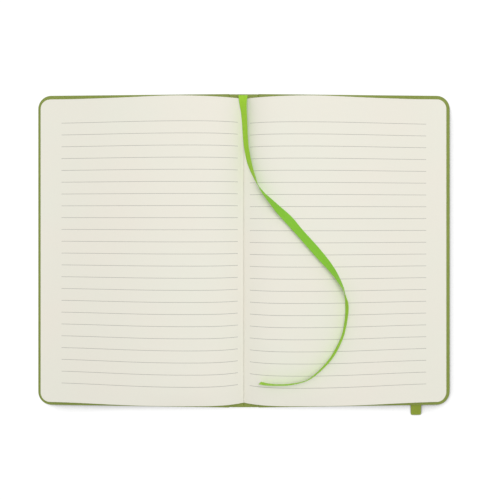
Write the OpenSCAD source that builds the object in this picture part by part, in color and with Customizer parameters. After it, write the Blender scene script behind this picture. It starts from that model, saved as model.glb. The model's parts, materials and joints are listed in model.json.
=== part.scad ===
// Hard-cover ruled notebook, lying open at its middle with the ribbon across the right page.
// Millimetres. X runs across the open book, Y towards the head, Z up from the table.
// The gutter is at X = 0, the front cover is on the left and the back cover on the right.

/* [Case] */
// How far the covers stand out past the pages at head and tail
square_h = 3.7; // [2.5:0.1:5]
// How far they stand out past the pages at the fore-edge
square_w = 3.9; // [3:0.1:6]
// Radius of the cover corners at the fore-edge
cover_corner = 9; // [3:0.5:20]
// Thickness of the card boards
board_t = 1.9; // [1.2:0.1:3]
// Thickness of the covering material
skin_t = 0.35; // [0.25:0.05:0.6]
// How far the covering is turned in over the boards
turn_in = 15; // [13:0.5:20]
// How far each cover falls from its hinge to the table, in degrees
tilt = 2.6; // [2.3:0.1:4]

/* [Spine] */
// Distance of each cover hinge from the middle of the spine
hinge_x = 7; // [6.5:0.1:12]
// Width of the card strip in the spine
liner_w = 9.4; // [8:0.1:11]
// Thickness of the card strip in the spine
liner_t = 1.1; // [0.6:0.1:1.8]
// Depth of the joint groove between spine and cover
groove_d = 0.8; // [0.4:0.1:1.2]
// Distance from a hinge to the edge of its board
board_gap = 2.9; // [2.4:0.1:5]
// Thickness of the cloth and paper lining glued to the backs of the pages
lining_t = 0.25; // [0.15:0.05:0.5]

/* [Pages] */
// Height of the pages
page_h = 202.6; // [150:0.2:290]
// Distance from the gutter to the fore-edge of the pages
page_w = 136; // [100:0.2:180]
// Thickness of the leaves on each side of the opening
half_t = 4.3; // [3:0.1:12]
// Radius of the page corners
page_corner = 6.3; // [2:0.1:15]
// Distance from the gutter to the crest of the page swell
crest_x = 37; // [20:1:60]
// Height of the crest above the gutter
crest_rise = 8.3; // [5:0.1:16]
// Paper left between the gutter and the back of the leaves
gutter_t = 1.3; // [0.8:0.1:3]
// How far the bottom leaf reaches past the top one at the fore-edge
fore_slope = 0.5; // [0:0.1:2]
// Folded sections that the leaves are sewn in, on each side of the opening
sections = 6; // [3:1:8]
// Depth of the gaps that open between the sections at head and tail
section_gap_d = 0.3; // [0.1:0.1:0.6]
// Width of those gaps
section_gap_w = 0.2; // [0.1:0.05:0.3]

/* [Ruling] */
// Distance from one ruled line to the next
rule_pitch = 7.9; // [6:0.1:12]
// Distance from the head of the page to the first line
rule_head = 16.3; // [10:0.1:30]
// Least distance from the last line to the tail of the page
rule_foot = 12; // [8:0.5:30]
// Width of a ruled line
rule_w = 0.25; // [0.15:0.05:0.5]
// Distance from the gutter to the start of a line
rule_start = 4; // [3:0.5:15]
// Distance from the fore-edge to the end of a line
rule_margin = 14; // [5:0.2:30]
// Thickness of the printed ink
ink_t = 0.05; // [0.03:0.01:0.1]

/* [Pastedowns] */
// Thickness of the paper glued inside each cover
paste_t = 0.15; // [0.1:0.05:0.3]
// Border of covering left bare round a pastedown
paste_margin = 2.6; // [1.5:0.1:6]

/* [Elastic] */
// Width of the elastic band
band_w = 7; // [4:0.5:12]
// Thickness of the elastic band
band_t = 0.38; // [0.25:0.01:0.4]
// Distance from the fore-edge to the middle of the band
band_in = 22.5; // [18:0.5:40]
// Distance from the head and tail edges to the slots of the band
slot_in = 12; // [11:0.5:13]
// Length of the band that is glued down behind each slot
band_tuck = 8.5; // [5:0.5:9]
// How far the slack loop stands out past the tail edge
loop_out = 7.5; // [3:0.5:15]

/* [Ribbon] */
// Width of the ribbon bookmark
ribbon_w = 6; // [4:0.5:7]
// Thickness of the ribbon bookmark
ribbon_t = 0.3; // [0.2:0.05:0.4]
// Length of ribbon glued between the leaves and the spine lining
ribbon_tuck = 18; // [8:1:30]

/* [Hidden] */
$fn = 48;

// Clearances and small offsets
hinge_gap = 0.2;      // between the spine covering and a cover's, across each hinge
block_gap = 0.3;      // between the leaves and the pastedown under them
lining_gap = 0.1;     // between the lining on the leaves and the turned-in covering
lining_in = 2;        // how far the lining stops short of head and tail
paste_in = 0.4;       // from the edge of a board to its pastedown
glue_t = 0.02;        // between the bookmark's glued end and the leaves
seat_play = 0.2;      // round the bookmark's glued end
slot_play = 0.1;      // round the elastic in its slots
slit = 0.05;          // between the two layers of the slack loop
loop_from = 1;        // from the tail slot to where the loop leaves the cover
loop_to = 5;          // from the tail slot to where it lies flat again
cut = 1;              // how far a cutting solid runs past what it cuts

// Covers: the hinge line is the origin of a cover's own frame
case_h = page_h + 2*square_h;
cover_w = (page_w + square_w - hinge_x)/cos(tilt);
cover_t = board_t + 2*skin_t;
inner_z = cover_t - groove_d;
board_z = skin_t - groove_d;
hinge_z = cover_w*sin(tilt) + groove_d*cos(tilt);
spine_z = hinge_z - groove_d;

// Heights through the spine
liner_z = spine_z + skin_t;
turn_z = liner_z + liner_t;
lining_z = turn_z + skin_t + lining_gap;
block_z = lining_z + lining_t;
gutter_z = block_z + gutter_t;

// Outline of the pages
under_z = hinge_z + (inner_z + paste_t)/cos(tilt) + block_gap;
crest_z = gutter_z + crest_rise;
fore_z = page_under(page_w) + half_t;
page_points = 26;      // points along the top of the page outline
shoulder_x = hinge_x + board_gap;
rules = floor((page_h - rule_head - rule_foot)/rule_pitch) + 1;

// Middle of the whole object from tail to head, with the elastic loop
shift_y = loop_out/2;

// Elastic band
band_x = cover_w - band_in;
slot_y = case_h/2 - slot_in;

// Middle of the bookmark's glued end, a little to the front cover's side of the gutter
ribbon_x = -0.5;

// Bookmark: x, y, z of its middle line, then the heading and the lean of its width in degrees
ribbon_route = [
    [-0.5, 101.4, 8.3, 0, 0],
    [-0.5, 102.6, 8.5, 0, 0],
    [-0.5, 103.5, 9.8, 0, 0],
    [-0.5, 103.3, 11.6, 0, 5],
    [-0.5, 102.0, 12.9, 0, 15],
    [-0.5, 98.0, 13.6, 0, 35],
    [0.0, 92.5, 13.8, 5, 50],
    [0.5, 85.5, 13.5, 5, 55],
    [1.5, 70.5, 13.3, 5, 60],
    [4.0, 57.5, 14.7, 15, 65],
    [8.0, 46.5, 17.1, 25, 85],
    [10.0, 42.5, 18.1, 35, 95],
    [13.0, 38.0, 19.1, 40, 105],
    [17.5, 33.0, 19.8, 45, 120],
    [22.5, 27.5, 19.9, 45, 140],
    [29.5, 20.5, 19.5, 45, 160],
    [36.5, 12.5, 19.6, 40, 150],
    [48.0, -0.5, 19.4, 40, 155],
    [58.0, -12.5, 19.5, 35, 130],
    [64.5, -23.5, 19.6, 25, 105],
    [66.0, -29.0, 19.5, 15, 90],
    [67.0, -34.5, 19.4, 5, 80],
    [66.5, -43.5, 19.5, -5, 85],
    [64.0, -55.0, 19.7, -20, 90],
    [58.5, -66.0, 20.2, -35, 90],
    [53.0, -73.0, 20.7, -45, 95],
    [46.0, -79.5, 21.1, -55, 100],
    [39.5, -83.5, 21.2, -70, 105],
    [30.0, -85.5, 21.2, -80, 100],
    [22.0, -86.0, 20.7, -90, 100],
    [15.5, -86.0, 19.6, -90, 95],
    [10.5, -85.5, 18.2, -90, 90]
];
ribbon_steps = 2;

// Underside of the leaves over a cover, at a distance x from the gutter
function page_under(x) = under_z - (x - hinge_x)*tan(tilt);

// Top of the open page: a steep fall into the gutter, a crest, and a long fall to the fore-edge
function page_top(x) =
    x < crest_x
    ? gutter_z + crest_rise*(1 - pow(1 - x/crest_x, 3))
    : fore_z + (crest_z - fore_z)*pow((1 + cos(180*(x - crest_x)/(page_w - crest_x)))/2, 0.85);

// Height between section k and the next: the leaves share out the room over the cover
function section_z(x, k) =
    let (u = k/sections)
    max(block_z, page_under(max(x, shoulder_x)))*(1 - u) + page_top(x)*u;

// Distances from the gutter at which the page outline has a point, closer together near it
function page_stations(a, b) =
    [for (i = [0:page_points]) let (u = i/page_points, x = page_w*u*(0.35 + 0.65*u)) if (x > a && x < b) x];

// A point on a smooth curve through the route
function along(route, i, t) =
    let (
        n = len(route) - 1,
        a = route[max(i - 1, 0)], b = route[i], c = route[min(i + 1, n)], d = route[min(i + 2, n)]
    )
    0.5*(2*b + (c - a)*t + (2*a - 5*b + 4*c - d)*t*t + (3*b - a - 3*c + d)*t*t*t);

function smooth(route, steps) = concat(
    [for (i = [0:len(route) - 2], k = [0:steps - 1]) along(route, i, k/steps)],
    [route[len(route) - 1]]
);

function unit(v) = v/norm(v);

// Everything that stays with the pages
module in_frame() {
    translate([0, shift_y, 0]) children();
}

// A cover's own frame: X from the hinge to the fore-edge, Z = 0 at the hinge line
module on_hinge(side) {
    in_frame() mirror([side < 0 ? 1 : 0, 0, 0])
        translate([hinge_x, 0, hinge_z]) rotate([0, tilt, 0]) children();
}

// A section drawn in X and Z, run along Y
module along_y(length) {
    rotate([90, 0, 0]) linear_extrude(length, center = true) children();
}

// Plan of a cover from x0 to the fore-edge, drawn in by a margin, with two round corners
module cover_plan(x0, margin) {
    r = cover_corner - margin;
    w = cover_w - margin;
    h = case_h/2 - margin;
    translate([x0, -h]) square([w - r - x0, 2*h]);
    translate([w - r - 1, -h + r]) square([r + 1, 2*(h - r)]);
    for (s = [-1, 1]) translate([w - r, s*(h - r)]) circle(r);
}

module cover_slab(x0, margin, z0, z1) {
    translate([0, 0, z0]) linear_extrude(z1 - z0) cover_plan(x0, margin);
}

// Slot through the cover and the seat of the glued end behind it, at the head or the tail
module band_cuts() {
    w = band_w + 2*slot_play;
    for (s = [-1, 1]) {
        translate([band_x - w/2, s*slot_y - band_t/2 - slot_play, -groove_d - cut])
            cube([w, band_t + 2*slot_play, cover_t + 2*cut]);
        translate([band_x - w/2, s > 0 ? slot_y : -slot_y - band_tuck - slot_play, inner_z - band_t])
            cube([w, band_tuck + slot_play, cut]);
    }
}

module board(side) {
    on_hinge(side) difference() {
        cover_slab(board_gap, skin_t, board_z, board_z + board_t);
        if (side > 0) band_cuts();
    }
}

// Covering of one cover: the outer sheet dips into the joint, and its edges turn in over the board
module cover_skin(side) {
    wrap_x = board_gap - skin_t;
    open_h = case_h - 2*turn_in;
    on_hinge(side) difference() {
        union() {
            intersection() {
                along_y(case_h) polygon([
                    [hinge_gap/2, 0], [wrap_x - groove_d, 0], [wrap_x, -groove_d], [cover_w, -groove_d],
                    [cover_w, inner_z], [board_gap, inner_z], [board_gap, skin_t], [hinge_gap/2, skin_t]
                ]);
                cover_slab(0, 0, -groove_d, inner_z);
            }
            for (s = [-1, 1]) {
                translate([hinge_gap/2, s*(case_h - turn_in)/2 - turn_in/2, 0])
                    cube([board_gap - hinge_gap/2, turn_in, 2*skin_t]);
                translate([wrap_x, s*(case_h - turn_in)/2 - turn_in/2, 0])
                    cube([skin_t, turn_in, inner_z]);
            }
        }
        cover_slab(board_gap, skin_t, board_z, board_z + board_t);
        translate([wrap_x - cut, -open_h/2, board_z + board_t])
            cube([cover_w - turn_in - wrap_x + cut, open_h, skin_t + cut]);
        if (side > 0) band_cuts();
    }
}

// Paper glued inside a cover: it steps down from the turned-in edges on to the board
module pastedown(side) {
    x0 = board_gap + paste_in;
    step_z = board_z + board_t;
    open_w = cover_w - turn_in - x0;
    open_h = case_h - 2*turn_in;
    on_hinge(side) difference() {
        cover_slab(x0, paste_margin, step_z, inner_z + paste_t);
        difference() {
            cover_slab(x0 - cut, 0, step_z - cut, inner_z);
            translate([x0 - 2*cut, -open_h/2, step_z - 2*cut]) cube([open_w + 2*cut, open_h, 4*cut]);
        }
        translate([x0 - cut, -open_h/2 + paste_t, step_z + paste_t])
            cube([open_w - paste_t + cut, open_h - 2*paste_t, cut]);
    }
}

// Plan of all the leaves, with round corners at both fore-edges
module page_plan() {
    r = page_corner;
    w = page_w + fore_slope;
    h = page_h/2;
    square([2*(w - r), 2*h], center = true);
    square([2*w, 2*(h - r)], center = true);
    for (sx = [-1, 1], sy = [-1, 1]) translate([sx*(w - r), sy*(h - r)]) circle(r);
}

// Section of the leaves on one side of the gutter
module page_section() {
    top = [for (x = page_stations(0, page_w)) [x, page_top(x)]];
    polygon(concat(
        [[-0.1, block_z], [-0.1, gutter_z], [0, gutter_z]],
        top,
        [[page_w, fore_z], [page_w + fore_slope, page_under(page_w + fore_slope)]],
        [[shoulder_x, page_under(shoulder_x)], [half_t, block_z]]
    ));
}

// Gap between two sections of leaves, from their folded backs to the fore-edge
module section_gap(k) {
    back_x = half_t*(1 - k/sections);
    middle = [for (x = page_stations(back_x + 1.5, page_w - 1)) [x, section_z(x, k)]];
    line = concat([[back_x, block_z - cut]], middle, [[page_w + fore_slope + cut, section_z(page_w, k)]]);
    n = len(line) - 1;
    half = section_gap_w/2;
    polygon(concat(
        [for (i = [0:n]) line[i] + (i == 0 ? [-half, 0] : [0, half])],
        [for (i = [n:-1:0]) line[i] + (i == 0 ? [half, 0] : [0, -half])]
    ));
}

// All the leaves as one solid: sections folded into the spine, fanned out over both covers
module text_block() {
    color([0.91, 0.90, 0.85]) in_frame() difference() {
        intersection() {
            union() {
                along_y(page_h) page_section();
                mirror([1, 0, 0]) along_y(page_h) page_section();
            }
            linear_extrude(crest_z + cut) page_plan();
        }
        for (side = [0, 1], s = [-1, 1], k = [1:sections - 1])
            mirror([side, 0, 0]) translate([0, s*(page_h/2 + cut/2), 0])
                along_y(cut + 2*section_gap_d) section_gap(k);
        translate([ribbon_x - ribbon_w/2 - seat_play, page_h/2 - ribbon_tuck - seat_play, block_z - cut])
            cube([ribbon_w + 2*seat_play, ribbon_tuck + cut, cut + ribbon_t + glue_t]);
    }
}

// Printed lines on both open pages, each a thin film of ink that follows the page
module ruled_lines() {
    rule_end = page_w - rule_margin;
    xs = concat([rule_start], page_stations(rule_start + 0.5, rule_end - 0.5), [rule_end]);
    n = len(xs) - 1;
    line = concat(
        [for (i = [0:n]) [xs[i], page_line(xs[i])]],
        [for (i = [n:-1:0]) [xs[i], page_line(xs[i]) + ink_t]]
    );
    color([0.72, 0.70, 0.66]) in_frame()
        for (side = [0, 1], i = [0:rules - 1])
            mirror([side, 0, 0]) translate([0, page_h/2 - rule_head - i*rule_pitch, 0])
                along_y(rule_w) polygon(line);
}

// Height of the page between the points of its outline
function page_line(x) =
    let (
        below = [for (p = concat([0], page_stations(0, page_w), [page_w])) if (p <= x) p],
        above = [for (p = concat([0], page_stations(0, page_w), [page_w])) if (p > x) p],
        a = below[len(below) - 1], b = above[0]
    )
    page_top(a) + (page_top(b) - page_top(a))*(x - a)/(b - a);

// Cloth and paper strip glued over the backs of the leaves
module spine_lining() {
    color([0.93, 0.93, 0.90]) in_frame()
        translate([-half_t, -page_h/2 + lining_in, lining_z])
            cube([2*half_t, page_h - 2*lining_in, lining_t]);
}

// Card strip that keeps the spine of the case flat
module spine_liner() {
    color([0.70, 0.66, 0.58]) in_frame()
        translate([-liner_w/2, -case_h/2 + skin_t, liner_z]) cube([liner_w, case_h - 2*skin_t, liner_t]);
}

// Covering of the spine between the two hinges, turned in at head and tail
module spine_skin() {
    x1 = hinge_x - hinge_gap/2;
    x2 = liner_w/2 + skin_t;
    dip = hinge_z;
    color([0.52, 0.58, 0.27]) in_frame() difference() {
        union() {
            along_y(case_h) polygon([
                [-x2, spine_z], [x2, spine_z], [x2 + groove_d, dip], [x1, dip],
                [x1, dip + skin_t], [-x1, dip + skin_t], [-x1, dip], [-x2 - groove_d, dip]
            ]);
            for (s = [-1, 1]) translate([0, s*(case_h - turn_in)/2, 0]) along_y(turn_in) polygon([
                [-x1, dip], [x1, dip], [x1, dip + 2*skin_t], [x2, dip + 2*skin_t], [x2, turn_z + skin_t],
                [-x2, turn_z + skin_t], [-x2, dip + 2*skin_t], [-x1, dip + 2*skin_t]
            ]);
        }
        translate([-liner_w/2, -case_h/2 + skin_t, liner_z]) cube([liner_w, case_h - 2*skin_t, liner_t]);
        translate([-liner_w/2, -case_h/2 + turn_in, liner_z])
            cube([liner_w, case_h - 2*turn_in, liner_t + cut]);
    }
}

// Free part of the flat bookmark: one strip swept along the route
module ribbon_bookmark() {
    rings = smooth(ribbon_route, ribbon_steps);
    n = len(rings) - 1;
    w = ribbon_w/2;
    t = ribbon_t/2;
    edge = w - t;
    profile = [[w, 0], [edge, t], [0, t], [-edge, t], [-w, 0], [-edge, -t], [0, -t], [edge, -t]];
    m = len(profile);
    points = [for (i = [0:n]) let (
        r = rings[i],
        ahead = rings[min(i + 1, n)], behind = rings[max(i - 1, 0)],
        run = unit([ahead[0] - behind[0], ahead[1] - behind[1], ahead[2] - behind[2]]),
        lean = [cos(r[3])*cos(r[4]), sin(r[3])*cos(r[4]), sin(r[4])],
        wide = unit(lean - (lean*run)*run),
        face = cross(run, wide)
    ) for (p = profile) [r[0], r[1], r[2]] + p[0]*wide + p[1]*face];
    sides = [for (i = [0:n - 1], j = [0:m - 1]) let (a = i*m + j, b = i*m + (j + 1) % m)
        each [[a, b, b + m], [a, b + m, a + m]]];
    ends = [[for (j = [m:-1:1]) j % m], [for (j = [0:m - 1]) n*m + j]];
    color([0.58, 0.78, 0.24]) in_frame() polyhedron(points, concat(sides, ends));
}

// End of the bookmark, glued between the leaves and the spine lining
module ribbon_glued_end() {
    color([0.58, 0.78, 0.24]) in_frame()
        translate([ribbon_x - ribbon_w/2, page_h/2 - ribbon_tuck, block_z])
            cube([ribbon_w, ribbon_tuck, ribbon_t]);
}

module front_board() {
    color([0.70, 0.66, 0.58]) board(-1);
}

module front_cover_skin() {
    color([0.52, 0.58, 0.27]) cover_skin(-1);
}

module front_pastedown() {
    color([0.91, 0.90, 0.85]) pastedown(-1);
}

module back_board() {
    color([0.70, 0.66, 0.58]) board(1);
}

module back_cover_skin() {
    color([0.52, 0.58, 0.27]) cover_skin(1);
}

module back_pastedown() {
    color([0.91, 0.90, 0.85]) pastedown(1);
}

// Flat elastic: glued down behind both slots, along the outside, with a slack loop at the tail
module elastic_band() {
    e1 = -groove_d;
    e2 = e1 - band_t;
    e3 = e2 - slit;
    e4 = e3 - band_t;
    half = band_t/2;
    tip = -case_h/2 - loop_out;
    top = inner_z;
    round_off = band_t*0.8;
    color([0.50, 0.57, 0.22]) on_hinge(1) translate([band_x - band_w/2, 0, 0])
        rotate([90, 0, 90]) linear_extrude(band_w) polygon([
            [-slot_y - band_tuck, top], [-slot_y + half, top], [-slot_y + half, e2],
            [tip + band_t, e2], [tip + band_t, e3],
            [-slot_y + loop_from, e3], [-slot_y + loop_to, e1], [slot_y - half, e1], [slot_y - half, top],
            [slot_y + band_tuck, top], [slot_y + band_tuck, top - band_t], [slot_y + half, top - band_t],
            [slot_y + half, e2], [-slot_y + loop_to + slot_play, e2], [-slot_y + loop_from + slot_play, e4],
            [tip + round_off, e4], [tip, e4 + round_off], [tip, e1 - round_off], [tip + round_off, e1],
            [-slot_y - half, e1], [-slot_y - half, top - band_t], [-slot_y - band_tuck, top - band_t]
        ]);
}

text_block();
ruled_lines();
spine_lining();
spine_liner();
spine_skin();
ribbon_bookmark();
ribbon_glued_end();
front_board();
front_cover_skin();
front_pastedown();
back_board();
back_cover_skin();
back_pastedown();
elastic_band();
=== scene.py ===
import json
import math

import bpy
import numpy as np
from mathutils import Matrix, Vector


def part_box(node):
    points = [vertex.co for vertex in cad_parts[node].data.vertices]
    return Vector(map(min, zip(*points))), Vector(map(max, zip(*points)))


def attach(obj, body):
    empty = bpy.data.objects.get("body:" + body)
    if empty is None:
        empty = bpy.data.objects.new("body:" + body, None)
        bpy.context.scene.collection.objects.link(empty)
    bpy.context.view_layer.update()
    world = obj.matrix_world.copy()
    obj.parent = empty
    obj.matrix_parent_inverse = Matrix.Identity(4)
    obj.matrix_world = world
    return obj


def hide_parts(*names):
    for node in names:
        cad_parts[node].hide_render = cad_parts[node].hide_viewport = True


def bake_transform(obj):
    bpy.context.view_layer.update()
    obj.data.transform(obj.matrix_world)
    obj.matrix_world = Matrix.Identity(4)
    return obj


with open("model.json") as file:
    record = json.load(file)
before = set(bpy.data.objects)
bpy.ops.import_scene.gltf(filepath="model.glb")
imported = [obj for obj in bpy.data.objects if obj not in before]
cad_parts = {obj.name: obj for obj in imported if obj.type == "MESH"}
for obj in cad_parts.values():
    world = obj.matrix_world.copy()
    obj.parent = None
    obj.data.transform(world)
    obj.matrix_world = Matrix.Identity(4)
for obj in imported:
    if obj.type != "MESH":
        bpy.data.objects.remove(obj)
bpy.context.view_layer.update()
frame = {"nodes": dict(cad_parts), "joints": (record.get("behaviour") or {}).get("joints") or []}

# Camera and studio: the open notebook lies on a pale table and is seen from straight above.
# A large soft lamp hangs about a metre above it, a little past its head, and a white sky fills in the rest.
MM = 0.001
block_low, block_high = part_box("text_block")
MIDDLE_Y = (block_low.y + block_high.y) / 2 / MM
CAMERA_X, CAMERA_Y, CAMERA_Z = 4.1, 23.3, 380.0
LENS, SENSOR = 40.0, 36.0
AXIS_ROW, PHOTO_SIDE = 216.0, 500.0
SKY_LEVEL = 0.50
KEY_FROM, KEY_SIZE, KEY_POWER = Vector((0.08, 0.22, 1.05)), 0.75, 6.8

scene = bpy.context.scene
scene.view_settings.view_transform = "Standard"
camera_data = bpy.data.cameras.new("camera")
camera_data.lens = LENS
camera_data.sensor_width = SENSOR
camera_data.shift_y = (AXIS_ROW - PHOTO_SIDE / 2) / PHOTO_SIDE
camera = bpy.data.objects.new("camera", camera_data)
camera.location = (CAMERA_X * MM, (CAMERA_Y + MIDDLE_Y) * MM, CAMERA_Z * MM)
scene.collection.objects.link(camera)
scene.camera = camera

key_data = bpy.data.lights.new("key", "AREA")
key_data.size = KEY_SIZE
key_data.energy = KEY_POWER
key = bpy.data.objects.new("key", key_data)
key.location = KEY_FROM
key.rotation_euler = KEY_FROM.to_track_quat("Z", "Y").to_euler()
scene.collection.objects.link(key)


def add(tree, kind, inputs=(), **options):
    """Adds a shader node; inputs gives each socket a value or another node's output."""
    node = tree.nodes.new(kind)
    for option, value in options.items():
        setattr(node, option, value)
    for socket, value in dict(inputs).items():
        if isinstance(value, bpy.types.NodeSocket):
            tree.links.new(value, node.inputs[socket])
        else:
            node.inputs[socket].default_value = value
    return node


def maths(tree, operation, a, b=0.0, c=0.0):
    """Result of a Math node."""
    return add(tree, "ShaderNodeMath", {0: a, 1: b, 2: c}, operation=operation).outputs[0]


def seen_directly(tree):
    """1 for rays from the camera and for those that gloss or glass sends on, 0 for the light's own."""
    rays = add(tree, "ShaderNodeLightPath")
    seen = maths(tree, "MAXIMUM", rays.outputs["Is Camera Ray"], rays.outputs["Is Glossy Ray"])
    return maths(tree, "MAXIMUM", seen, rays.outputs["Is Transmission Ray"])


sky = bpy.data.worlds.new("sky")
sky.use_nodes = True
sky_tree = sky.node_tree
sky_shader = sky_tree.nodes["Background"]
sky_shader.inputs["Color"].default_value = (1, 1, 1, 1)
sky_strength = maths(sky_tree, "MULTIPLY_ADD", seen_directly(sky_tree), 1 - SKY_LEVEL, SKY_LEVEL)
sky_tree.links.new(sky_strength, sky_shader.inputs["Strength"])
scene.world = sky


# The book's shadow on the table is painted: occlusion read at a tilt dims the table's glow, so that the
# painted shadow falls to the right and the tail.
CONTACT_REACH, CONTACT_TILT = 0.014, (-0.48, 0.54, 0.69)
CONTACT_GAIN, CONTACT_WHITE = 2.8, 0.78
TABLE_WHITE, TABLE_GLOW = 1.12, 0.8
TABLE_Z, TABLE_REACH = -0.0001, 3.0


def table_material():
    """Pale table: a white glow for the camera, dimmed by occlusion into a painted shadow of the book, mixed
    with a weaker real shadow from the lamp.
    """
    material = bpy.data.materials.new("table")
    material.use_nodes = True
    tree = material.node_tree
    tree.nodes.clear()
    lit = add(tree, "ShaderNodeBsdfDiffuse", {"Color": (0.86, 0.86, 0.86, 1)})
    tilted = add(tree, "ShaderNodeCombineXYZ", dict(enumerate(CONTACT_TILT)))
    near = add(
        tree,
        "ShaderNodeAmbientOcclusion",
        {"Distance": CONTACT_REACH, "Normal": tilted.outputs[0]},
        samples=16,
    ).outputs["AO"]
    # Painted shadow: the glow is turned down where the tilted occlusion finds the book close by.
    level = maths(tree, "MULTIPLY_ADD", near, CONTACT_GAIN, TABLE_WHITE - CONTACT_GAIN * CONTACT_WHITE)
    painted_book_shadow = maths(tree, "MINIMUM", maths(tree, "MAXIMUM", level, 0.0), TABLE_WHITE)
    glow = add(tree, "ShaderNodeEmission", {"Color": (1, 1, 1, 1), "Strength": painted_book_shadow})
    shown = add(tree, "ShaderNodeMixShader", {0: TABLE_GLOW, 1: lit.outputs[0], 2: glow.outputs[0]})
    plain = add(tree, "ShaderNodeBsdfDiffuse", {"Color": (0.8, 0.8, 0.8, 1)})
    shaders = {0: seen_directly(tree), 1: plain.outputs[0], 2: shown.outputs[0]}
    mix = add(tree, "ShaderNodeMixShader", shaders)
    add(tree, "ShaderNodeOutputMaterial", {"Surface": mix.outputs[0]})
    return material


table_mesh = bpy.data.meshes.new("table")
table_corners = [(-1, -1), (1, -1), (1, 1), (-1, 1)]
table_points = [(x * TABLE_REACH, y * TABLE_REACH, TABLE_Z) for x, y in table_corners]
table_mesh.from_pydata(table_points, [], [(0, 1, 2, 3)])
table_mesh.materials.append(table_material())
table = bpy.data.objects.new("table", table_mesh)
scene.collection.objects.link(table)

# Bookmark: a lime satin ribbon, woven 6 mm wide with a thicker selvedge at both edges.
# Its end is glued between the leaves and the spine lining. It comes over the head, lies down the
# gutter, turns over twice across the right page and ends in a plain cut.
RIBBON_W = 6.0
RIBBON_MIDDLE_T, RIBBON_SELVEDGE_T, SELVEDGE_IN = 0.2, 0.28, 0.3
RIBBON_STEPS = 8
ribbon_route = [
    (-0.5, 101.4, 8.3, 0, 0), (-0.5, 102.6, 8.5, 0, 0), (-0.5, 103.5, 9.8, 0, 0),
    (-0.5, 103.3, 11.6, 0, 5), (-0.5, 102.0, 12.9, 0, 15), (-0.5, 98.0, 13.6, 0, 35),
    (0.0, 92.5, 13.8, 5, 50), (0.5, 85.5, 13.5, 5, 55), (1.5, 70.5, 13.3, 5, 60),
    (4.0, 57.5, 14.7, 15, 65), (8.0, 46.5, 17.1, 25, 85), (10.0, 42.5, 18.1, 35, 95),
    (13.0, 38.0, 19.1, 40, 105), (17.5, 33.0, 19.8, 45, 120), (22.5, 27.5, 19.9, 45, 140),
    (29.5, 20.5, 19.5, 45, 160), (36.5, 12.5, 19.6, 40, 150), (48.0, -0.5, 19.4, 40, 155),
    (58.0, -12.5, 19.5, 35, 130), (64.5, -23.5, 19.6, 25, 105), (66.0, -29.0, 19.5, 15, 90),
    (67.0, -34.5, 19.4, 5, 80), (66.5, -43.5, 19.5, -5, 85), (64.0, -55.0, 19.7, -20, 90),
    (58.5, -66.0, 20.2, -35, 90), (53.0, -73.0, 20.7, -45, 95), (46.0, -79.5, 21.1, -55, 100),
    (39.5, -83.5, 21.2, -70, 105), (30.0, -85.5, 21.2, -80, 100), (22.0, -86.0, 20.7, -90, 100),
    (15.5, -86.0, 19.6, -90, 95), (10.5, -85.5, 18.2, -90, 90),
]  # x, y, z of its middle line, then the heading and the lean of its width in degrees


def through(route, steps):
    """Points of a smooth line through a route."""
    points = np.array(route, float)
    ends = np.concatenate([points[:1], points, points[-1:]])
    rows = []
    for a, b, c, d in zip(ends, ends[1:], ends[2:], ends[3:]):
        for t in np.arange(steps) / steps:
            bend = (2 * a - 5 * b + 4 * c - d) * t**2 + (3 * b - a - 3 * c + d) * t**3
            rows.append(0.5 * (2 * b + (c - a) * t + bend))
    return np.array(rows + [points[-1]])


def unit(vectors):
    """The same directions with a length of one."""
    return vectors / np.linalg.norm(vectors, axis=-1, keepdims=True)


def piece(name, points, faces, place, material):
    """A mesh piece from points in millimetres; place is where each one is in the piece's weave or grain."""
    mesh = bpy.data.meshes.new(name)
    mesh.from_pydata((np.reshape(points, (-1, 3)) * MM).tolist(), [], faces)
    where = mesh.attributes.new("place", "FLOAT_VECTOR", "POINT")
    where.data.foreach_set("vector", (np.reshape(place, (-1, 3)) * MM).astype(np.float32).ravel())
    mesh.materials.append(material)
    mesh.shade_smooth()
    mesh.set_sharp_from_angle(angle=math.radians(40))
    made = bpy.data.objects.new(name, mesh)
    scene.collection.objects.link(made)
    return made


def tube_faces(rings, around):
    """Faces of a closed tube whose points come ring by ring."""
    faces = []
    for i in range(rings - 1):
        for j in range(around):
            a, b = i * around + j, i * around + (j + 1) % around
            faces.append((a, b, b + around, a + around))
    last = (rings - 1) * around
    faces.append(tuple(range(around - 1, -1, -1)))
    faces.append(tuple(range(last, last + around)))
    return faces


def own_place(tree, on_cad):
    """Where a point is on its piece: from the piece's own points, or from a CAD solid's."""
    if on_cad:
        return add(tree, "ShaderNodeTexCoord").outputs["Object"]
    return add(tree, "ShaderNodeAttribute", attribute_name="place").outputs["Vector"]


def new_material(name, rough, gloss):
    """A material with its node tree and its shader."""
    material = bpy.data.materials.new(name)
    material.use_nodes = True
    shader = material.node_tree.nodes["Principled BSDF"]
    shader.inputs["Roughness"].default_value = rough
    shader.inputs["Specular IOR Level"].default_value = gloss
    return material, material.node_tree, shader


def mixed(tree, share, a, b, blend="MIX"):
    """Colour made of a and b, each of them a colour or another node's output."""
    first, second = (c if isinstance(c, bpy.types.NodeSocket) else (*c, 1) for c in (a, b))
    sockets = {0: share, 6: first, 7: second}
    return add(tree, "ShaderNodeMix", sockets, data_type="RGBA", blend_type=blend).outputs[2]


def add_relief(tree, shader, height, strength, depth):
    """Bump on a shader's normal, with its depth in millimetres."""
    sockets = {"Height": height, "Strength": strength, "Distance": depth * MM}
    bump = add(tree, "ShaderNodeBump", sockets)
    tree.links.new(bump.outputs[0], shader.inputs["Normal"])


def from_group(tree, node_group, place, values=()):
    """Outputs of a node group that is placed in a material with its own values."""
    sockets = {"Place": place, **dict(values)}
    return add(tree, "ShaderNodeGroup", sockets, node_tree=node_group).outputs


def finish_node(node, material):
    """Gives a CAD solid its finish."""
    slots = frame["nodes"][node].data.materials
    slots.clear()
    slots.append(material)


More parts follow.
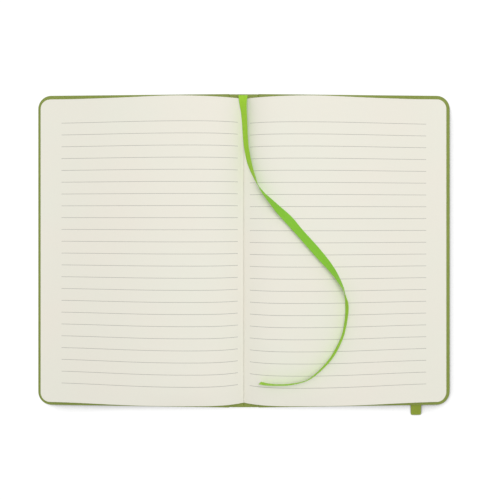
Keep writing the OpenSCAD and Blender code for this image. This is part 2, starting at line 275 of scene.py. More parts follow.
def group(name, inputs, outputs):
    """An empty shader node group with named sockets, and its two end nodes."""
    tree = bpy.data.node_groups.new(name, "ShaderNodeTree")
    for socket, (kind, value) in inputs.items():
        made = tree.interface.new_socket(socket, in_out="INPUT", socket_type=kind)
        if value is not None:
            made.default_value = value
    for socket, kind in outputs.items():
        tree.interface.new_socket(socket, in_out="OUTPUT", socket_type=kind)
    return tree, add(tree, "NodeGroupInput").outputs, add(tree, "NodeGroupOutput").inputs


# Relief of the weave, and its tone: painted shade in the hollows between yarns and picks, and the streaks'
# own tone.
OVER_RELIEF, RIB_RELIEF, STREAK_RELIEF = 0.25, 0.5, 0.4
OVER_PAINTED_SHADE, RIB_PAINTED_SHADE, STREAK_SHADE, BASE_SHADE = 0.12, 0.3, 0.6, 0.1


def weave_group():
    """Woven cloth: yarns along the piece, picks across it, and long streaks where yarns vary; its Shade is
    painted shade in the hollows between yarns and picks, plus the streaks' own tone.
    """
    tree, given, put = group(
        "weave",
        {
            "Place": ("NodeSocketVector", None),
            "Yarn": ("NodeSocketFloat", 0.0003),
            "Pick": ("NodeSocketFloat", 0.0003),
            "Streak": ("NodeSocketFloat", 0.004),
        },
        {"Height": "NodeSocketFloat", "Shade": "NodeSocketFloat"},
    )
    apart = add(tree, "ShaderNodeSeparateXYZ", {0: given["Place"]})
    yarn = maths(tree, "MULTIPLY", maths(tree, "DIVIDE", apart.outputs[0], given["Yarn"]), math.pi)
    pick = maths(tree, "MULTIPLY", maths(tree, "DIVIDE", apart.outputs[1], given["Pick"]), math.pi)
    over = maths(tree, "MULTIPLY", maths(tree, "SINE", yarn), maths(tree, "SINE", pick))
    rib = maths(tree, "ABSOLUTE", maths(tree, "SINE", yarn))
    stretched = add(
        tree,
        "ShaderNodeCombineXYZ",
        {
            0: maths(tree, "DIVIDE", apart.outputs[0], given["Yarn"]),
            1: maths(tree, "DIVIDE", apart.outputs[1], given["Streak"]),
        },
    )
    streaks = add(
        tree, "ShaderNodeTexNoise", {"Vector": stretched.outputs[0], "Scale": 0.5, "Detail": 2.0}
    ).outputs["Fac"]
    height = maths(tree, "MULTIPLY_ADD", over, OVER_RELIEF, maths(tree, "MULTIPLY", rib, RIB_RELIEF))
    tree.links.new(maths(tree, "MULTIPLY_ADD", streaks, STREAK_RELIEF, height), put["Height"])
    # Painted shade: the tone is darker in the hollows between yarns and picks, where the relief is low; the
    # streaks add the yarns' own tone.
    shade = maths(tree, "MULTIPLY_ADD", rib, RIB_PAINTED_SHADE, BASE_SHADE)
    shade = maths(tree, "MULTIPLY_ADD", over, OVER_PAINTED_SHADE, shade)
    tree.links.new(maths(tree, "MULTIPLY_ADD", streaks, STREAK_SHADE, shade), put["Shade"])
    return tree


weave = weave_group()


def cloth_material(
    name, dark, light, threads, depth, rough, gloss, sheen, glow=(1, 1, 1), on_cad=False, behind=None
):
    """Woven material between two shades, with the darker one as painted shade in the weave's hollows.

    threads are the sizes of yarn, pick and streak, glow colours the sheen, and behind tints one face.
    """
    material, tree, shader = new_material(name, rough, gloss)
    shader.inputs["Sheen Weight"].default_value = sheen
    shader.inputs["Sheen Tint"].default_value = (*glow, 1)
    place = own_place(tree, on_cad)
    sizes = {socket: size * MM for socket, size in zip(("Yarn", "Pick", "Streak"), threads)}
    woven = from_group(tree, weave, place, sizes)
    # Painted shade: the dark colour goes into the hollows between yarns and picks, the light one onto their
    # tops, and the streaks vary the tone.
    tone = mixed(tree, woven["Shade"], dark, light)
    if behind:
        height = add(tree, "ShaderNodeSeparateXYZ", {0: place}).outputs[2]
        tone = mixed(tree, maths(tree, "LESS_THAN", height, 0.0), tone, behind, "MULTIPLY")
    tree.links.new(tone, shader.inputs["Base Color"])
    add_relief(tree, shader, woven["Height"], 0.7, depth)
    return material


def satin(name, on_cad=False):
    """Lime satin, a little darker on its back, which is the face towards the page in the gutter."""
    return cloth_material(
        name,
        dark=(0.22, 0.51, 0.03),
        light=(0.41, 0.67, 0.045),
        threads=(0.22, 0.3, 6.0),
        depth=0.04,
        rough=0.5,
        gloss=0.15,
        sheen=0.35,
        glow=(0.45, 0.9, 0.05),
        on_cad=on_cad,
        behind=(0.68, 0.875, 1),
    )


def ribbon_profile():
    """Half-width and height of the points round the ribbon's section."""
    w, t, s = RIBBON_W / 2, RIBBON_MIDDLE_T / 2, RIBBON_SELVEDGE_T / 2
    across = [(w, 0), (w - 0.06, 0.7 * s), (w - SELVEDGE_IN / 2, s), (w - SELVEDGE_IN, 0.8 * t)]
    flat = [(x, t) for x in np.linspace(w - 2 * SELVEDGE_IN, -w + 2 * SELVEDGE_IN, 9)]
    top = across + flat + [(-x, z) for x, z in reversed(across)]
    return np.array(top + [(x, -z) for x, z in reversed(top[1:-1])])


ribbon_rows = through(ribbon_route, RIBBON_STEPS)
ribbon_centre = ribbon_rows[:, :3] + (0, MIDDLE_Y, 0)
heading, lean = np.radians(ribbon_rows[:, 3]), np.radians(ribbon_rows[:, 4])
ribbon_run = unit(np.gradient(ribbon_centre, axis=0))
ribbon_wide = np.stack([np.cos(heading) * np.cos(lean), np.sin(heading) * np.cos(lean), np.sin(lean)], 1)
ribbon_wide = unit(ribbon_wide - np.sum(ribbon_wide * ribbon_run, 1, keepdims=True) * ribbon_run)
ribbon_face = np.cross(ribbon_run, ribbon_wide)
profile = ribbon_profile()
ribbon_points = (
    ribbon_centre[:, None]
    + profile[None, :, :1] * ribbon_wide[:, None]
    + profile[None, :, 1:] * ribbon_face[:, None]
)
run_so_far = np.concatenate([[0], np.cumsum(np.linalg.norm(np.diff(ribbon_centre, axis=0), axis=1))])
ribbon_place = np.zeros_like(ribbon_points)
ribbon_place[:, :, 0] = profile[:, 0]
ribbon_place[:, :, 1] = run_so_far[:, None]
ribbon_place[:, :, 2] = profile[:, 1]
ribbon = piece(
    "bookmark_ribbon",
    ribbon_points,
    tube_faces(len(ribbon_centre), len(profile)),
    ribbon_place,
    satin("ribbon_satin"),
)
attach(ribbon, "block")
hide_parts("ribbon_bookmark")
finish_node("ribbon_glued_end", satin("ribbon_satin_glued", on_cad=True))

# Leaves: 96 leaves of smooth cream paper, gathered in folded sections, glued at the back and trimmed to
# round corners. At the middle opening half of them fan out over each cover, with air between the sections.
PAGE_H = (block_high.y - block_low.y) / MM
PAGE_W, HALF_T, PAGE_CORNER = 136.0, 4.3, 6.3
CREST_X, CREST_RISE, GUTTER_T, FORE_SLOPE, FALL_POWER = 37.0, 8.3, 1.3, 0.5, 0.85
BACK_SHARE, BACK_POWER = 0.12, 1.2
hinge_place = next(joint["pos_m"] for joint in frame["joints"] if joint["name"] == "back_cover_hinge")
HINGE_X, HINGE_Z, TILT = hinge_place[0] / MM, hinge_place[2] / MM, math.radians(2.6)
BOARD_T, SKIN_T, GROOVE_D, BOARD_GAP = 1.9, 0.35, 0.8, 2.9
PASTE_T, BLOCK_GAP = 0.15, 0.3
SHOULDER_X = HINGE_X + BOARD_GAP
UNDER_Z = HINGE_Z + (BOARD_T + 2 * SKIN_T - GROOVE_D + PASTE_T) / math.cos(TILT) + BLOCK_GAP
BLOCK_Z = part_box("spine_lining")[1].z / MM
GUTTER_Z = BLOCK_Z + GUTTER_T
FORE_Z = UNDER_Z - (PAGE_W - HINGE_X) * math.tan(TILT) + HALF_T
CREST_Z = GUTTER_Z + CREST_RISE
SECTIONS, SECTION_LEAVES = 6, 8
LEAF_GAP, LEAF_GRAIN_STEP = 0.015, 7.0
# The two halves don't reach out alike: the left one is a little wider than the right one.
REACH = {-1: 1.002, 1: 0.9965}
# The ends of the open leaves hang down a little, and their edge bulges outwards at the head.
HEAD_DROOP, FOOT_DROOP, DROOP_IN, DROOP_HALF = 0.4, 1.6, 13.0, 34.0
HEAD_SPREAD, SPREAD_X, SPREAD_HALF = 0.8, 44.0, 25.0
# Each leaf is trimmed a little shorter or longer than the next, within these bounds.
TRIM_H, TRIM_W = (-0.07, 0.05), (-0.08, 0.05)
OPEN_ROWS = np.linspace(-1, 1, 41)
INNER_ROWS = np.array([-1, -0.87, 0, 0.87, 1])


def page_top(x):
    """Height of the open page at a distance from the gutter."""
    rise = GUTTER_Z + CREST_RISE * (1 - (1 - x / CREST_X) ** 3)
    along = np.clip((x - CREST_X) / (PAGE_W - CREST_X), 0, 1)
    fall = FORE_Z + (CREST_Z - FORE_Z) * ((1 + np.cos(math.pi * along)) / 2) ** FALL_POWER
    return np.where(x < CREST_X, rise, fall)


def leaf_bounds():
    """Lines that the top and the bottom leaf follow from the spine to the fore-edge, in x and z."""
    share = np.linspace(0, 1, 15)
    up = np.clip(share / BACK_SHARE, 0, 1)
    out = SHOULDER_X * np.clip((share - BACK_SHARE) / (1 - BACK_SHARE), 0, 1) ** BACK_POWER
    top_near = np.stack([out, BLOCK_Z + (page_top(out) - BLOCK_Z) * np.where(out > 0, 1, up)], 1)
    shoulder_z = UNDER_Z - (SHOULDER_X - HINGE_X) * math.tan(TILT)
    low_x, low_z = HALF_T + (SHOULDER_X - HALF_T) * share, BLOCK_Z + (shoulder_z - BLOCK_Z) * share
    low_near = np.stack([low_x, low_z], 1)
    turn = np.radians(np.linspace(90, 0, 13))
    straight = SHOULDER_X + (PAGE_W - PAGE_CORNER - SHOULDER_X) * np.linspace(0, 1, 56)[1:-1]
    corner = PAGE_W - PAGE_CORNER * (1 - np.cos(turn))
    x = np.concatenate([straight, corner])
    top_far = np.stack([x, page_top(x)], 1)
    reach = SHOULDER_X + (x - SHOULDER_X) * (PAGE_W + FORE_SLOPE - SHOULDER_X) / (PAGE_W - SHOULDER_X)
    low_far = np.stack([reach, UNDER_Z - (reach - HINGE_X) * math.tan(TILT)], 1)
    short = np.concatenate([np.zeros(len(share) + len(straight)), PAGE_CORNER * (1 - np.sin(turn))])
    return np.concatenate([top_near, top_far]), np.concatenate([low_near, low_far]), short


TOP_LINE, LOW_LINE, CORNER_CUT = leaf_bounds()
FAN_DEPTH = np.linalg.norm(TOP_LINE - LOW_LINE, axis=1)


def leaf_line(number):
    """Line of a leaf's upper face; number runs from 0, under the bottom leaf, to 48, the open page."""
    section, inside = divmod(number, SECTION_LEAVES)
    spare = FAN_DEPTH - HALF_T
    in_section = (HALF_T + spare / 2) / SECTIONS
    between = spare / 2 / (SECTIONS - 1)
    if inside == 0 and number:
        section, inside = section - 1, SECTION_LEAVES
    height = section * (in_section + between) + inside / SECTION_LEAVES * in_section
    share = (height / FAN_DEPTH)[:, None]
    return LOW_LINE + (TOP_LINE - LOW_LINE) * share, share


def droop(x, y):
    """How far the ends of an open leaf hang below its middle."""
    swell = np.exp(-(((x - CREST_X) / DROOP_HALF) ** 2))
    near_end = np.clip((np.abs(y) - PAGE_H / 2 + DROOP_IN) / DROOP_IN, 0, 1) ** 2
    return np.where(y > 0, HEAD_DROOP, FOOT_DROOP) * near_end * swell


def leaf_surface(line, share, rows, side, extra_h, extra_w):
    """Grid of points on one face of a leaf, cut to round corners at the fore-edge."""
    half = PAGE_H / 2 + extra_h - CORNER_CUT
    y = half[:, None] * rows[None]
    x = line[:, :1]
    spread = HEAD_SPREAD * np.exp(-(((x - SPREAD_X) / SPREAD_HALF) ** 2)) * share
    grid = np.empty((*y.shape, 3))
    grid[:, :, 0] = side * (x + np.clip(x / PAGE_W, 0, 1) ** 8 * extra_w) * REACH[side]
    grid[:, :, 1] = y + MIDDLE_Y + spread * np.clip(2 * y / PAGE_H, 0, 1) ** 2
    grid[:, :, 2] = line[:, 1:] - droop(x, y) * share
    return grid


def closed_sheet(top, bottom, first=0):
    """Points and faces of a thin closed solid between two grids of the same size."""
    n, m = top.shape[:2]
    at = np.arange(n * m).reshape(n, m) + first
    quads = np.stack([at[:-1, :-1], at[1:, :-1], at[1:, 1:], at[:-1, 1:]], -1).reshape(-1, 4)
    lower = quads[:, ::-1] + n * m
    rim = np.concatenate([at[:, 0], at[-1, 1:], at[-2::-1, -1], at[0, -2:0:-1]])
    rim_low = rim + n * m
    ahead, ahead_low = np.roll(rim, -1), np.roll(rim_low, -1)
    side = np.stack([rim, rim_low, ahead_low, ahead], -1)
    points = np.concatenate([top.reshape(-1, 3), bottom.reshape(-1, 3)])
    return points, np.concatenate([quads, lower, side])


def paper_group():
    """Uncoated paper: fine fibres in the surface and a faint cloudiness in its tone."""
    tree, given, put = group(
        "paper",
        {"Place": ("NodeSocketVector", None)},
        {"Height": "NodeSocketFloat", "Cloud": "NodeSocketFloat", "Fibre": "NodeSocketFloat"},
    )
    fibre = add(
        tree, "ShaderNodeTexNoise", {"Vector": given["Place"], "Scale": 2600.0, "Detail": 3.0}
    ).outputs["Fac"]
    cloud = add(
        tree, "ShaderNodeTexNoise", {"Vector": given["Place"], "Scale": 22.0, "Detail": 2.0}
    ).outputs["Fac"]
    tree.links.new(fibre, put["Height"])
    tree.links.new(cloud, put["Cloud"])
    tree.links.new(fibre, put["Fibre"])
    return tree


paper = paper_group()


def paper_material(name, warm, cool, on_cad=False):
    """Cream paper, whose tone wanders between a warm and a cool shade."""
    material, tree, shader = new_material(name, rough=0.85, gloss=0.2)
    sheet = from_group(tree, paper, own_place(tree, on_cad))
    tone = mixed(tree, sheet["Cloud"], warm, cool)
    flecks = maths(tree, "MULTIPLY_ADD", sheet["Fibre"], 0.05, 0.975)
    tree.links.new(mixed(tree, 1.0, tone, flecks, "MULTIPLY"), shader.inputs["Base Color"])
    add_relief(tree, shader, sheet["Height"], 0.4, 0.02)
    return material


def flip(faces, side):
    """Faces turned over on the side where the points are mirrored."""
    return faces if side > 0 else faces[:, ::-1]


def make_leaves():
    """Points, faces and grain places of all leaves; the sections stand apart where they fan out."""
    rng = np.random.default_rng(7)
    points, faces, place = [], [], []
    count = 0
    leaves = SECTIONS * SECTION_LEAVES
    for side in (-1, 1):
        for number in range(1, leaves + 1):
            upper, share = leaf_line(number)
            lower = leaf_line(number - 1)[0]
            if number % SECTION_LEAVES == 1 and number > 1:
                lower = upper - (leaf_line(2)[0] - leaf_line(1)[0])
            lower = lower + (upper - lower) * LEAF_GAP / (HALF_T / leaves)
            open_page = number == leaves
            rows = OPEN_ROWS if open_page else INNER_ROWS
            extra_h = 0 if open_page else rng.uniform(*TRIM_H)
            extra_w = 0 if open_page else rng.uniform(*TRIM_W)
            top = leaf_surface(upper, share, rows, side, extra_h, extra_w)
            bottom = leaf_surface(lower, share, rows, side, extra_h, extra_w)
            leaf_points, leaf_faces = closed_sheet(top, bottom, count)
            points.append(leaf_points)
            faces += flip(leaf_faces, side).tolist()
            place.append(leaf_points + (0, 0, number * LEAF_GRAIN_STEP))
            count += len(leaf_points)
    return np.concatenate(points), faces, np.concatenate(place)


leaf_points, leaf_faces, leaf_place = make_leaves()
WARM_CREAM, COOL_CREAM = (0.84, 0.79, 0.70), (0.80, 0.81, 0.71)
page_paper = paper_material("page_paper", WARM_CREAM, COOL_CREAM)
leaves = piece("leaves", leaf_points, leaf_faces, leaf_place, page_paper)
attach(leaves, "block")
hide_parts("text_block")

# Ruling: 23 thin grey lines printed on each open page, from near the gutter to a margin at the fore-edge.
# They are modelled as films of ink that lie on the paper.
RULES, RULE_PITCH, RULE_HEAD, RULE_W = 23, 7.9, 16.3, 0.25
RULE_START, RULE_MARGIN, INK_T = 4.0, 14.0, 0.012
# The lines are a little nearer the head on the left page than on the right one.
RULE_OFF = {-1: 0.4, 1: -0.25}


def ink_material():
    """Grey printing ink, broken up by the fibres of the paper."""
    material, tree, shader = new_material("ruling_ink", rough=0.8, gloss=0.2)
    sheet = from_group(tree, paper, own_place(tree, False))
    tone = mixed(tree, sheet["Fibre"], (0.30, 0.295, 0.27), (0.44, 0.43, 0.39))
    tree.links.new(tone, shader.inputs["Base Color"])
    return material


def make_ruling():
    """Points and faces of all lines, which follow the swell of the open pages."""
    points, faces = [], []
    count = 0
    x = RULE_START + (PAGE_W - RULE_MARGIN - RULE_START) * np.linspace(0, 1, 90) ** 1.15
    for side in (-1, 1):
        on_leaf = x[:, None] / REACH[side]
        for number in range(RULES):
            middle = PAGE_H / 2 - RULE_HEAD - number * RULE_PITCH + RULE_OFF[side]
            y = middle + np.array([-RULE_W / 2, RULE_W / 2])
            grid = np.empty((len(x), 2, 3))
            grid[:, :, 0] = side * x[:, None]
            grid[:, :, 1] = y[None] + MIDDLE_Y
            grid[:, :, 2] = page_top(on_leaf) - droop(on_leaf, y[None]) + INK_T
            line_points, line_faces = closed_sheet(grid, grid - (0, 0, 1.5 * INK_T), count)
            points.append(line_points)
            faces += flip(line_faces, side).tolist()
            count += len(line_points)
    return np.concatenate(points), faces


ruling_points, ruling_faces = make_ruling()
ruling = piece("ruling", ruling_points, ruling_faces, ruling_points, ink_material())
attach(ruling, "block")
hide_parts("ruled_lines")

# Covering: one sheet of olive imitation leather glued over both boards and the spine, pressed down into
# the two joints, and turned in 15 mm over the boards' edges. Each half bends across its hinge.
SQUARE_H, SQUARE_W, COVER_CORNER, TURN_IN = 3.7, 3.9, 9.0, 15.0
CASE_H = PAGE_H + 2 * SQUARE_H
COVER_W = round((PAGE_W + SQUARE_W - HINGE_X) / math.cos(TILT), 2)
CASE_W = HINGE_X + COVER_W
LINER_W, LINER_T = 9.4, 1.1
LINER_X = LINER_W / 2
OUTER_Z, BOARD_TOP_Z = -GROOVE_D, SKIN_T - GROOVE_D + BOARD_T
SPINE_TOP_Z, JOINT_TOP_Z = SKIN_T - GROOVE_D + LINER_T, SKIN_T
EDGE_ROUND, EDGE_STEP, TURN_ROUND, SHELL_T = 0.75, 0.3, 0.5, 0.3
BEND_FROM, BEND_TO = LINER_X + 0.7, SHOULDER_X - 0.7


def ease(x, low, high):
    """0 up to low, 1 from high on, and a smooth rise between them."""
    t = np.clip((x - low) / (high - low), 0, 1)
    return t * t * (3 - 2 * t)


def on_case(x, y, z, side):
    """Place of a point of the case: x from the spine's middle, z above the height of the hinges."""
    beyond = np.maximum(x - HINGE_X, 0)
    turned = TILT * ease(x, HINGE_X - 0.4, HINGE_X + 0.4)
    place = np.empty((*np.broadcast(x, y, z).shape, 3))
    place[..., 0] = side * (np.minimum(x, HINGE_X) + beyond * math.cos(TILT) + z * np.sin(turned))
    place[..., 1] = y + MIDDLE_Y
    place[..., 2] = HINGE_Z - beyond * math.sin(TILT) + z * np.cos(turned)
    return place


def outer_height(x):
    """Outside of the covering: full depth on spine and boards, raised between them where it is pressed in."""
    groove = ease(x, LINER_X + 0.2, LINER_X + 1.3) * (1 - ease(x, SHOULDER_X - 1.3, SHOULDER_X - 0.2))
    return OUTER_Z + GROOVE_D * groove


def inner_height(x):
    """What the covering is turned in over: the spine card, the joint and the board."""
    into_joint = (JOINT_TOP_Z - SPINE_TOP_Z) * ease(x, LINER_X - 0.1, LINER_X + 0.6)
    onto_board = (BOARD_TOP_Z - JOINT_TOP_Z) * ease(x, SHOULDER_X - 0.6, SHOULDER_X + 0.1)
    return SPINE_TOP_Z + into_joint + onto_board


def grain_group():
    """Imitation leather: small rounded pebbles with fine creases between them; its Shade is painted shade in
    the creases, on a broad random tone.
    """
    tree, given, put = group(
        "leather_grain",
        {"Place": ("NodeSocketVector", None), "Pebble": ("NodeSocketFloat", 1400.0)},
        {"Height": "NodeSocketFloat", "Shade": "NodeSocketFloat"},
    )
    wander = add(tree, "ShaderNodeTexNoise", {"Vector": given["Place"], "Scale": 700.0, "Detail": 2.0})
    reach = (0.0006, 0.0006, 0.0006)
    shift = add(tree, "ShaderNodeVectorMath", {0: wander.outputs["Color"], 1: reach}, operation="MULTIPLY")
    moved = add(tree, "ShaderNodeVectorMath", {0: given["Place"], 1: shift.outputs[0]}, operation="ADD")
    cells = add(
        tree,
        "ShaderNodeTexVoronoi",
        {"Vector": moved.outputs[0], "Scale": given["Pebble"]},
        feature="DISTANCE_TO_EDGE",
    ).outputs["Distance"]
    levels = {0: cells, 1: 0.0, 2: 0.22, 3: 0.0, 4: 1.0}
    pebble = add(tree, "ShaderNodeMapRange", levels, interpolation_type="SMOOTHSTEP").outputs[0]
    broad = add(
        tree, "ShaderNodeTexNoise", {"Vector": given["Place"], "Scale": 90.0, "Detail": 2.0}
    ).outputs["Fac"]
    tree.links.new(maths(tree, "MULTIPLY_ADD", broad, 0.5, pebble), put["Height"])
    # Painted shade: darker in the creases between pebbles, on a broad random tone.
    shade = maths(tree, "MULTIPLY_ADD", broad, 0.5, maths(tree, "MULTIPLY", pebble, 0.5))
    tree.links.new(shade, put["Shade"])
    return tree


grain = grain_group()


def leather_material():
    """Olive imitation leather, with painted shade in the creases between pebbles, a little smoother on top of
    each pebble.
    """
    material, tree, shader = new_material("cover_skin", rough=0.5, gloss=0.35)
    hide = from_group(tree, grain, own_place(tree, False))
    # Painted shade: the darker olive goes into the creases between pebbles.
    tone = mixed(tree, hide["Shade"], (0.175, 0.225, 0.035), (0.27, 0.33, 0.065))
    tree.links.new(tone, shader.inputs["Base Color"])
    tree.links.new(maths(tree, "MULTIPLY_ADD", hide["Shade"], -0.15, 0.62), shader.inputs["Roughness"])
    add_relief(tree, shader, hide["Height"], 0.5, 0.05)
    return material


def case_columns():
    """Columns of points, closest at the joint and the corner: their distance from the spine's middle,
    how much the corner cuts off each, and how far each one's edge faces outwards."""
    joint = np.concatenate([np.linspace(0, 4.5, 6), np.linspace(4.8, 10.2, 28), [11.0, 12.5, 15.0]])
    flat = np.linspace(20.0, CASE_W - TURN_IN - 1, 12)
    r = COVER_CORNER - EDGE_ROUND
    turn = np.radians(np.linspace(90, 0, 15))
    corner = CASE_W - EDGE_ROUND - r * (1 - np.cos(turn))
    uncut = np.zeros(len(joint) + len(flat))
    x = np.concatenate([joint, flat, corner])
    cut = np.concatenate([uncut, r * (1 - np.sin(turn))])
    out = np.concatenate([uncut, np.cos(turn)])
    return x, cut, out


def thicken(made, thickness):
    """Gives a surface its material's thickness on the inside."""
    solid = made.modifiers.new("thickness", "SOLIDIFY")
    solid.thickness = thickness * MM
    solid.offset = -1
    graph = bpy.context.evaluated_depsgraph_get()
    mesh = bpy.data.meshes.new_from_object(made.evaluated_get(graph))
    made.modifiers.clear()
    made.data = mesh


def bend_at_hinge(made, side):
    """Bakes a sheet's place into its points; the ends of the bend across the joint are worked out but not
    used.
    """
    start, end = (on_case(np.float64(x), 0.0, 0.0, side) * MM for x in (BEND_FROM, BEND_TO))
    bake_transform(made)


def covering(name, side):
    """Half of the covering: a grid for the outside, then rings round its edge to the turned-in border."""
    x, cut, out = case_columns()
    straight_y = CASE_H / 2 - COVER_CORNER
    inner_y = CASE_H / 2 - TURN_IN - 1
    rows = np.concatenate([[-1], np.linspace(-inner_y, inner_y, 15) / straight_y, [1]])
    half = CASE_H / 2 - EDGE_ROUND - cut
    y = half[:, None] * np.linspace(-1, 1, len(rows))[None]
    y[-1] = straight_y * rows
    n, m = y.shape
    at = np.arange(n * m).reshape(n, m)
    grid_x = np.repeat(x[:, None], m, 1)
    points = [on_case(grid_x, y, outer_height(grid_x), side).reshape(-1, 3)]
    place = [np.stack([grid_x, y, np.zeros_like(y)], -1).reshape(-1, 3)]
    faces = np.stack([at[:-1, :-1], at[:-1, 1:], at[1:, 1:], at[1:, :-1]], -1).reshape(-1, 4).tolist()
    rim = np.concatenate([at[:, 0], at[-1, 1:-1], at[::-1, -1]])
    rim_x = np.concatenate([x, np.full(m - 2, x[-1]), x[::-1]])
    rim_y = np.concatenate([y[:, 0], y[-1, 1:-1], y[::-1, -1]])
    away_x = np.concatenate([out, np.ones(m - 2), out[::-1]])
    away_y = np.concatenate([-np.sqrt(1 - out**2), np.zeros(m - 2), np.sqrt(1 - out[::-1] ** 2)])
    low, high = outer_height(rim_x), inner_height(rim_x) + SKIN_T
    bend = np.minimum(EDGE_ROUND, (high - low) / 2)
    quarter = np.radians(np.linspace(0, 90, 6))
    edge = [(EDGE_ROUND * math.sin(a), low + bend * (1 - math.cos(a))) for a in quarter[1:]]
    edge += [(EDGE_ROUND * math.cos(a), high - bend * (1 - math.sin(a))) for a in quarter]
    rings = []
    for number, (reach, z) in enumerate(edge, 1):
        far = EDGE_STEP * number
        grained = np.stack([rim_x + away_x * far, rim_y + away_y * far, z], -1)
        rings.append((rim_x + away_x * reach, rim_y + away_y * reach, z, grained))
    limit_y = CASE_H / 2 - TURN_IN - TURN_ROUND * (1 - np.abs(away_y))
    deep_x = np.minimum(rim_x, CASE_W - TURN_IN - TURN_ROUND * (1 - away_x))
    deep_y = np.clip(rim_y, -limit_y, limit_y)
    for share in (0.15, 1.0):
        ring_x, ring_y = rim_x + (deep_x - rim_x) * share, rim_y + (deep_y - rim_y) * share
        z = inner_height(ring_x) + SKIN_T
        rings.append((ring_x, ring_y, z, np.stack([ring_x, ring_y, z + 5], -1)))
    before, count = rim, n * m
    for ring_x, ring_y, z, grained in rings:
        points.append(on_case(ring_x, ring_y, z, side))
        place.append(grained)
        ring = np.arange(len(rim)) + count
        faces += np.stack([before[:-1], ring[:-1], ring[1:], before[1:]], -1)[:, ::-1].tolist()
        before, count = ring, count + len(rim)
    faces = flip(np.array(faces), side).tolist()
    half_cover = piece(name, np.concatenate(points), faces, np.concatenate(place), leather)
    thicken(half_cover, SHELL_T)
    bend_at_hinge(half_cover, side)
    return half_cover


leather = leather_material()
front_covering = covering("front_covering", -1)
back_covering = covering("back_covering", 1)
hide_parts("front_cover_skin", "spine_skin")
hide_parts("back_cover_skin", "spine_skin")

# Boards and spine card: grey-brown binding board, glued inside the covering.
# The lining is a strip of open cotton cloth and paper, glued over the folded backs of the sections.


def board_material():
    """Coarse grey-brown pulp board."""
    material, tree, shader = new_material("board_card", rough=0.9, gloss=0.2)
    sheet = from_group(tree, paper, own_place(tree, True))
    tone = mixed(tree, sheet["Fibre"], (0.30, 0.26, 0.20), (0.58, 0.53, 0.44))
    tree.links.new(tone, shader.inputs["Base Color"])
    add_relief(tree, shader, sheet["Height"], 0.6, 0.08)
    return material


card = board_material()
for node in ("front_board", "back_board", "spine_liner"):
    finish_node(node, card)
lining_cloth = cloth_material(
    "lining_cloth",
    dark=(0.66, 0.65, 0.60),
    light=(0.86, 0.85, 0.80),
    threads=(0.7, 0.7, 5.0),
    depth=0.1,
    rough=0.9,
    gloss=0.3,
    sheen=0.1,
    on_cad=True,
)
finish_node("spine_lining", lining_cloth)

# Endpapers: a sheet of smooth cream paper glued down inside each cover, 2.6 mm in from its edges.
# It runs on across the joint to the back of the leaves, and the turned-in border shows in it as a step.
PASTE_MARGIN, PASTE_FROM, PASTE_OFF = 2.6, 4.5, 0.01
STEP_W, FOOT_DROP = 0.7, 0.25


def endpaper(name, side):
    """One endpaper; its points are closest at the joint, along the step and round the corners."""
    r = COVER_CORNER - PASTE_MARGIN
    far = CASE_W - PASTE_MARGIN
    turn = np.radians(np.linspace(90, 0, 11))
    x = np.concatenate(
        [
            np.linspace(PASTE_FROM, 10.5, 31),
            np.linspace(12, far - TURN_IN + 1, 24),
            np.linspace(far - TURN_IN + 1.4, far - TURN_IN + 3.8, 7),
            np.linspace(far - TURN_IN + 4.4, far - r - 0.4, 4),
            far - r * (1 - np.cos(turn)),
        ]
    )
    cut = np.concatenate([np.zeros(len(x) - len(turn)), r * (1 - np.sin(turn))])
    half = CASE_H / 2 - PASTE_MARGIN
    step_y = CASE_H / 2 - TURN_IN
    outer = np.linspace(-1, -(step_y + 1) / half, 4)
    at_step = np.linspace(-(step_y + 0.6) / half, -(step_y - 1.2) / half, 6)
    middle = np.linspace(at_step[-1] + 0.01, -at_step[-1] - 0.01, 20)
    rows = np.concatenate([outer, at_step, middle, -at_step[::-1], -outer[::-1]])
    y = (half - cut)[:, None] * rows[None]
    grid_x = np.repeat(x[:, None], len(rows), 1)
    step_x = CASE_W - TURN_IN
    border = np.maximum(ease(np.abs(y), step_y - STEP_W, step_y), ease(grid_x, step_x - STEP_W, step_x))
    z = inner_height(grid_x) + SKIN_T * border
    foot = 1 - ease(grid_x, PASTE_FROM, BEND_FROM)
    z = z + foot * (BLOCK_Z - FOOT_DROP - HINGE_Z - z)
    top, bottom = on_case(grid_x, y, z + PASTE_T, side), on_case(grid_x, y, z + PASTE_OFF, side)
    points, faces = closed_sheet(top, bottom)
    flat = np.stack([grid_x, y, np.zeros_like(y)], -1).reshape(-1, 3)
    faces = flip(faces, side).tolist()
    sheet = piece(name, points, faces, np.concatenate([flat, flat]), end_paper)
    bend_at_hinge(sheet, side)
    return sheet


end_paper = paper_material("endpaper", WARM_CREAM, COOL_CREAM)
front_endpaper = endpaper("front_endpaper", -1)
back_endpaper = endpaper("back_endpaper", 1)
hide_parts("front_pastedown")
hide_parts("back_pastedown")

# Elastic: a flat woven band 7 mm wide, olive to match the covering, with fine ribs along it.
# Both ends pass through slots in the back cover and are glued down inside. Its slack hangs out at the tail.
BAND_W, BAND_T, BAND_IN, SLOT_IN, BAND_TUCK, LOOP_OUT = 7.0, 0.38, 22.5, 12.0, 8.5, 7.5
SLOT_BEND, LOOP_BULGE, LOOP_SLIT, LOOP_EASE = 0.6, 0.35, 0.05, 0.08
LOOP_NARROW, NARROW_RUN = 0.10, 0.9
RIBS, RIB_DEPTH, RIB_POINTS = 12, 0.14, 6


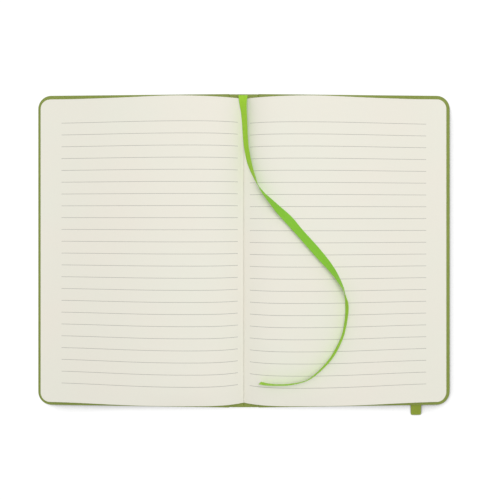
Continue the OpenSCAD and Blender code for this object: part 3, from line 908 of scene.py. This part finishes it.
def band_path():
    """Middle line of the band in the cover's y and z, from its end at the head to that at the tail.

    At the tail slot it comes back from its slack loop, so both its bends there turn towards the loop.
    """
    slot_y = CASE_H / 2 - SLOT_IN
    half = BAND_T / 2
    inside = BOARD_TOP_Z + SKIN_T - half
    outside = OUTER_Z - half
    drop = BAND_T + LOOP_SLIT
    below = outside - drop
    near_tip = -CASE_H / 2 - LOOP_OUT + half + LOOP_BULGE
    slot = [(BAND_TUCK, inside), (SLOT_BEND, inside), (SLOT_BEND / 4, inside - SLOT_BEND / 5)]
    slot += [(0, inside - SLOT_BEND), (0, outside + SLOT_BEND)]
    slot += [(-SLOT_BEND / 4, outside + SLOT_BEND / 5), (-SLOT_BEND, outside)]
    dip = [(5.5, outside), (4.5, outside - LOOP_EASE), (2.5, below + LOOP_EASE), (1.5, below)]
    route = [(slot_y + y, z) for y, z in slot]
    route += [(y, outside) for y in np.linspace(slot_y - 10, -slot_y + 8, 19)]
    route += [(-slot_y + y, z) for y, z in dip]
    route += [(y, below) for y in np.linspace(-slot_y - 2, near_tip + 1, 8)]
    for a in np.linspace(0.3, math.pi - 0.3, 7):
        route.append((near_tip - LOOP_BULGE * math.sin(a), outside - drop / 2 * (1 + math.cos(a))))
    route += [(y, outside) for y in np.linspace(near_tip + 1, -slot_y - 2, 8)]
    route += [(-slot_y - abs(y), z) for y, z in reversed(slot)]
    return np.array(route)


def band_profile():
    """Points round the band's section: ribs on both faces and round edges."""
    across = np.linspace(1, -1, RIBS * RIB_POINTS + 1)
    rib = 0.5 + 0.5 * np.cos(across * RIBS * math.pi)
    round_off = np.sqrt(np.clip(1 - np.abs(across) ** 14, 0, 1))
    half = BAND_T / 2 * (1 - RIB_DEPTH + RIB_DEPTH * rib) * round_off
    top = np.stack([across * BAND_W / 2, half], 1)
    return np.concatenate([top, (top * (1, -1))[-2:0:-1]])


def make_band():
    """Points, faces and weave places of the band, a little narrower where it folds back."""
    path = band_path()
    run = unit(np.gradient(path, axis=0))
    normal = np.stack([-run[:, 1], run[:, 0]], 1)
    section = band_profile()
    tip = path[:, 0].min()
    narrow = 1 - LOOP_NARROW * np.clip(1 - (path[:, 0] - tip) / NARROW_RUN, 0, 1) ** 2
    x = HINGE_X + COVER_W - BAND_IN + section[None, :, 0] * narrow[:, None]
    y = path[:, :1] + section[None, :, 1] * normal[:, :1]
    z = path[:, 1:] + section[None, :, 1] * normal[:, 1:]
    points = on_case(x, y, z, 1)
    travelled = np.concatenate([[0], np.cumsum(np.linalg.norm(np.diff(path, axis=0), axis=1))])
    place = np.zeros_like(points)
    place[:, :, 0] = section[None, :, 0]
    place[:, :, 1] = travelled[:, None]
    return points, tube_faces(len(path), len(section)), place


elastic_cloth = cloth_material(
    "band_elastic",
    dark=(0.175, 0.235, 0.02),
    light=(0.30, 0.375, 0.035),
    threads=(0.58, 0.35, 3.0),
    depth=0.08,
    rough=0.7,
    gloss=0.3,
    sheen=0.15,
)
band_points, band_faces, band_place = make_band()
elastic = piece("elastic", band_points, band_faces, band_place, elastic_cloth)
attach(elastic, "back_cover")
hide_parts("elastic_band")
